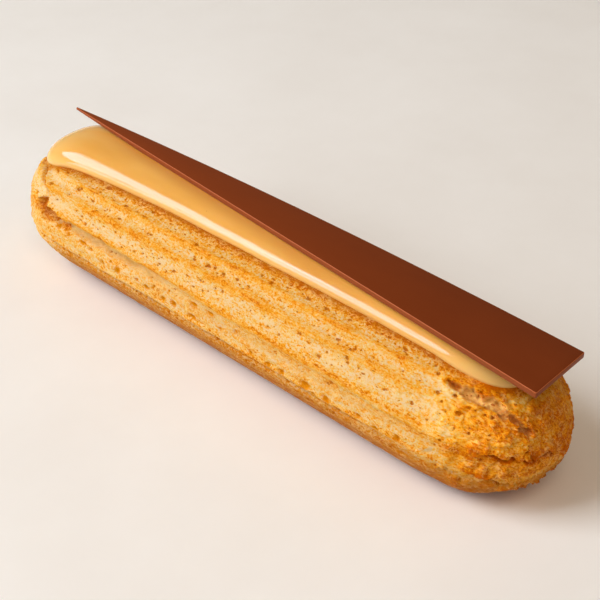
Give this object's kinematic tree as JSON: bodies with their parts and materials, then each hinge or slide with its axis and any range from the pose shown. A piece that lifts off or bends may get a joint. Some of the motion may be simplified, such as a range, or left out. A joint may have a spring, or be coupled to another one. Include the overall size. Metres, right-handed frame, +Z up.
{
  "type": "eclair",
  "caption": "Finger-shaped baked choux pastry with piped ridges and cracked ends, glossy caramel icing on top and a long tapered milk chocolate plate on the icing.",
  "frame": {"origin": "on the surface that the eclair rests on, under the middle of its bounding box", "axes": "+X along the bar towards the end under the wide side of the chocolate plate, +Y towards the back, +Z up"},
  "size_m": [0.1456, 0.034, 0.0331],
  "materials": {
    "choux_crust": "matte baked crust, golden with browner ridges and paler seams",
    "caramel_icing": "smooth glossy poured icing",
    "milk_chocolate": "satin tempered chocolate"
  },
  "bodies": {
    "root": {"choux": "choux_crust", "glaze": "caramel_icing", "blade": "milk_chocolate"}
  },
  "joints": []
}
